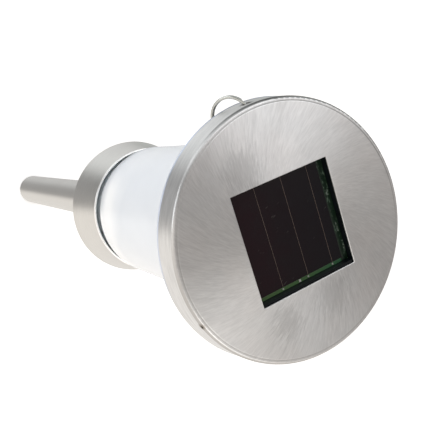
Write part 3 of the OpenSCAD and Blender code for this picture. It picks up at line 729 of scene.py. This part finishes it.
# %% Assign the finishes
slots = {row["node"]: row["material_slot"] for row in frame["record"]["subparts"]}
slots["panel_board"] = "panel_green"
slots["panel_tray"] = "recess_black"
for name, obj in nodes.items():
    obj.data.materials.clear()
    obj.data.materials.append(looks[slots[name]])
print("finishes on", len(slots), "solids")

# %% [markdown]
# ## Where the split ring runs
#
# The solid ring is one closed wire. The real one is a split ring: one flat wire
# wound twice, whose two turns lie side by side and change over near the hole. The
# visual ring follows the solid's own middle line and stays inside its thickness,
# so its centre, axis and sizes are measured on the solid. Its points crowd on one
# side, which is why the centre is fitted and not averaged.

# %% Measure the solid ring
def ring_line():
    """Centre, axis, radius and wire radius of the solid ring."""
    points = np.array([v.co for v in nodes["hanging_ring"].data.vertices])
    middle = points.mean(0)
    arms = points - middle
    axis = np.linalg.eigh(np.cov(arms.T))[1][:, 0]
    rows = np.column_stack((2 * arms, np.ones(len(arms))))
    centre = middle + np.linalg.lstsq(rows, (arms ** 2).sum(1), rcond=None)[0][:3]
    reach = np.linalg.norm(points - centre, axis=1)
    return Vector(centre), Vector(axis), (reach.max() + reach.min()) / 2, (reach.max() - reach.min()) / 2


ring_centre, ring_axis, ring_radius, wire_radius = ring_line()
print("ring radius and wire radius in mm:", round(ring_radius * 1000, 2), round(wire_radius * 1000, 2))

# %% [markdown]
# ## Split ring
#
# A curve with a bevel could make this too, but here a loop of points is as short
# and gives the flat section directly: each step along the two turns adds one oval
# of points, and neighbouring ovals are joined by quads. The two ends are closed,
# and the faces are turned outward at the end.

# %% Split ring
RING_HOLE = Vector(on_cap(92.2, 0.0598, 0.0065))
CROSS_AT = math.radians(22)
END_GAP = math.radians(38)
STEPS, AROUND = 260, 14
TALL, WIDE, APART = 0.80, 0.47, 0.47


def wire_point(turn):
    """Middle of the wire and its outward direction, at a turn from the hole."""
    first = RING_HOLE - ring_centre
    first = (first - ring_axis * first.dot(ring_axis)).normalized()
    second = ring_axis.cross(first)
    out = first * math.cos(turn + CROSS_AT) + second * math.sin(turn + CROSS_AT)
    share = min(1.0, max(0.0, (turn - (2 * math.pi - END_GAP)) / (2 * END_GAP)))
    side = share * share * (3 - 2 * share) * 2 - 1
    return ring_centre + out * ring_radius + ring_axis * (side * wire_radius * APART), out


def wound_wire():
    """Points and faces of the flat wire, closed at both ends."""
    verts, faces = [], []
    for step in range(STEPS + 1):
        heart, out = wire_point(END_GAP + (4 * math.pi - 2 * END_GAP) * step / STEPS)
        for k in range(AROUND):
            a = 2 * math.pi * k / AROUND
            flat = out * (TALL * math.cos(a)) + ring_axis * (WIDE * math.sin(a))
            verts.append(heart + flat * wire_radius)
    for step in range(STEPS):
        here, there = step * AROUND, (step + 1) * AROUND
        for k in range(AROUND):
            n = (k + 1) % AROUND
            faces.append((here + k, here + n, there + n, there + k))
    faces.append(tuple(range(AROUND)))
    faces.append(tuple(range(len(verts) - AROUND, len(verts))))
    return verts, faces


def split_ring(name):
    """The two turns of wire as one piece that swings with the ring."""
    verts, faces = wound_wire()
    mesh = bpy.data.meshes.new(name)
    mesh.from_pydata(verts, [], faces)
    shape = bmesh.new()
    shape.from_mesh(mesh)
    bmesh.ops.recalc_face_normals(shape, faces=shape.faces)
    shape.to_mesh(mesh)
    shape.free()
    for face in mesh.polygons:
        face.use_smooth = len(face.vertices) == 4
    obj = bpy.data.objects.new(name, mesh)
    bpy.context.scene.collection.objects.link(obj)
    mesh.materials.append(looks["wire_steel"])
    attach(obj, "ring")
    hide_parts("hanging_ring")
    return obj


loop = split_ring("split_ring")
print("split ring with", len(loop.data.vertices), "points")

# %% [markdown]
# ## Floor
#
# A wide pale floor lies below the tube. Mirror-like rays pass through it, so the
# steel reflects the studio walls and not the floor itself. From below it is clear
# as well, so that the underside of the light can be looked at.

# %% Floor
FLOOR_SIZE, FLOOR_DROP = 12.0, -0.002


def floor_look():
    """Pale, faintly glowing, and clear to mirror-like rays and from below."""
    mat = bpy.data.materials.new("pale_floor")
    mat.use_nodes = True
    tree = mat.node_tree
    tree.nodes.clear()
    out = add(tree, "ShaderNodeOutputMaterial")
    white = add(tree, "ShaderNodeBsdfDiffuse")
    white.inputs["Color"].default_value = (0.93, 0.93, 0.93, 1)
    glow = add(tree, "ShaderNodeEmission")
    glow.inputs["Strength"].default_value = 0.45
    both = add(tree, "ShaderNodeAddShader")
    tree.links.new(white.outputs[0], both.inputs[0])
    tree.links.new(glow.outputs[0], both.inputs[1])
    mirrored = add(tree, "ShaderNodeLightPath").outputs["Is Glossy Ray"]
    below = add(tree, "ShaderNodeNewGeometry").outputs["Backfacing"]
    mix = add(tree, "ShaderNodeMixShader")
    tree.links.new(maths(tree, "MAXIMUM", mirrored, below), mix.inputs[0])
    tree.links.new(both.outputs[0], mix.inputs[1])
    tree.links.new(add(tree, "ShaderNodeBsdfTransparent").outputs[0], mix.inputs[2])
    tree.links.new(mix.outputs[0], out.inputs["Surface"])
    return mat


bpy.ops.mesh.primitive_plane_add(size=FLOOR_SIZE, location=(0, 0, FLOOR_DROP))
floor = bpy.context.object
floor.name = "floor"
floor.data.materials.append(floor_look())
print("floor placed")

# %% [markdown]
# ## Camera
#
# The camera was found by fitting circles of known place on the light, the rim of
# the cap, the lip of the collar and the end of the tube, to the same edges in the
# photograph. It looks at the cap from its front, with the tube running away. Its
# three directions are kept by name, because the studio is built along them.

# %% Camera
right = Vector((0.83458, -0.29576, 0.46476))
up = Vector((0.36839, 0.92691, -0.07167))
back = Vector((-0.40959, 0.23103, 0.88253))
CAMERA_SPOT = (-0.15513, 0.08922, 0.75223)
cam_data = bpy.data.cameras.new("camera")
cam_data.sensor_width = 36.0
cam_data.lens = 58.736
cam_data.clip_start = 0.01
cam_data.clip_end = 50.0
cam = bpy.data.objects.new("camera", cam_data)
bpy.context.scene.collection.objects.link(cam)
facing = Matrix((right, up, back)).transposed().to_4x4()
cam.matrix_world = Matrix.Translation(CAMERA_SPOT) @ facing
bpy.context.scene.camera = cam
print("camera at", [round(v, 3) for v in cam.location])

# %% [markdown]
# ## Walls of the studio
#
# The photograph shows a broad cool light above the lamp, a warm white table below
# it and a darker gap between them at the sides. The world colour is built from
# those bands, counted along the camera's own up direction, once for the left and
# once for the right. Behind the light it is hazy and dim to the right, and there
# is a dim place overhead. The camera itself sees plain white.

# %% Walls of the studio
FAR_STOPS = [
    (0.00, (0.90, 0.86, 0.81)),
    (0.46, (0.90, 0.86, 0.81)),
    (0.52, (0.26, 0.25, 0.24)),
    (0.725, (0.22, 0.22, 0.22)),
    (0.80, (0.86, 0.88, 0.88)),
    (1.00, (0.95, 0.97, 0.97)),
]
NEAR_STOPS = [
    (0.00, (0.85, 0.81, 0.76)),
    (0.20, (0.75, 0.71, 0.66)),
    (0.32, (0.32, 0.30, 0.28)),
    (0.68, (0.30, 0.29, 0.29)),
    (0.80, (0.90, 0.90, 0.90)),
    (1.00, (0.90, 0.90, 0.90)),
]
HAZE, DIM, OVERHEAD = (0.72, 0.71, 0.70), (0.42, 0.44, 0.43), (0.14, 0.14, 0.14)
ROOM_STRENGTH = 1.3


def room_colour(tree):
    """The colour of the studio in each direction."""
    where = add(tree, "ShaderNodeTexCoord").outputs["Generated"]
    rise = measure(tree, "DOT_PRODUCT", where, tuple(up))
    across = measure(tree, "DOT_PRODUCT", where, tuple(right))
    depth = measure(tree, "DOT_PRODUCT", where, tuple(back))
    height = plus(tree, times(tree, rise, 0.5), 0.5)
    side = span(tree, across, -0.3, 0.3, smooth=True)
    walls = blend(tree, side, ramp(tree, height, FAR_STOPS), ramp(tree, height, NEAR_STOPS))
    walls = blend(tree, span(tree, depth, -0.55, -0.8, 0.0, 0.5, smooth=True), walls, HAZE)
    behind = span(tree, depth, -0.25, -0.6, smooth=True)
    past = span(tree, across, -0.22, 0.02, smooth=True)
    above = span(tree, height, 0.45, 0.55, smooth=True)
    walls = blend(tree, times(tree, times(tree, behind, past), above), walls, DIM)
    high = span(tree, rise, 0.82, 0.91, smooth=True)
    beyond = span(tree, depth, 0.42, 0.18, smooth=True)
    return blend(tree, times(tree, high, beyond), walls, OVERHEAD)


def studio():
    """A world that lights with the room's colours and shows plain white."""
    world = bpy.data.worlds.new("studio")
    bpy.context.scene.world = world
    world.use_nodes = True
    tree = world.node_tree
    tree.nodes.clear()
    out = add(tree, "ShaderNodeOutputWorld")
    seen = add(tree, "ShaderNodeBackground")
    seen.inputs["Color"].default_value = (1, 1, 1, 1)
    room = add(tree, "ShaderNodeBackground")
    room.inputs["Strength"].default_value = ROOM_STRENGTH
    tree.links.new(room_colour(tree), room.inputs["Color"])
    mix = add(tree, "ShaderNodeMixShader")
    tree.links.new(add(tree, "ShaderNodeLightPath").outputs["Is Camera Ray"], mix.inputs[0])
    tree.links.new(room.outputs[0], mix.inputs[1])
    tree.links.new(seen.outputs[0], mix.inputs[2])
    tree.links.new(mix.outputs[0], out.inputs["Surface"])


studio()
print("studio walls ready")

# %% [markdown]
# ## Soft boxes
#
# Four square area lights stand round the light, each facing its middle. The top
# one lights the glass only, so that it can be even there without washing out the
# steel. The high and the low one are seen in the steel only, where they make the
# bright sectors of the cap. The side one does both, for the edge of the glass.

# %% Soft boxes
centre = Vector((0, 0, 0.38))
BOX_AWAY = 1.25


def soft_box(name, where, size, power, colour, lights_glass=True, on_steel=True):
    """A square area light that faces the middle; some only show on the steel."""
    data = bpy.data.lights.new(name, "AREA")
    data.size = size
    data.energy = power
    data.color = colour
    box = bpy.data.objects.new(name, data)
    bpy.context.scene.collection.objects.link(box)
    box.location = where
    box.rotation_mode = "QUATERNION"
    box.rotation_quaternion = (centre - box.location).to_track_quat("-Z", "Y")
    box.visible_diffuse = lights_glass
    box.visible_glossy = on_steel
    return box


over_left = centre + up * 1.3 + back * 0.5 - right * 0.3
high_right = centre + (right * 0.70 + up * 0.50 + back * 0.52) * BOX_AWAY
low_right = centre + (right * 0.50 - up * 0.62 + back * 0.62) * BOX_AWAY
far_left = centre + (right * -0.90 + up * 0.20 + back * 0.44) * BOX_AWAY
soft_box("top_box", over_left, 1.0, 4, (0.95, 0.98, 1.0), on_steel=False)
soft_box("high_box", high_right, 1.1, 4.0, (0.99, 0.99, 1.0), lights_glass=False)
soft_box("low_box", low_right, 0.65, 1.7, (1.0, 0.98, 0.95), lights_glass=False)
soft_box("side_box", far_left, 0.6, 2.6, (0.97, 0.99, 1.0))
bpy.context.scene.view_settings.view_transform = "Standard"
bpy.context.scene.view_settings.look = "None"
print("soft boxes placed")
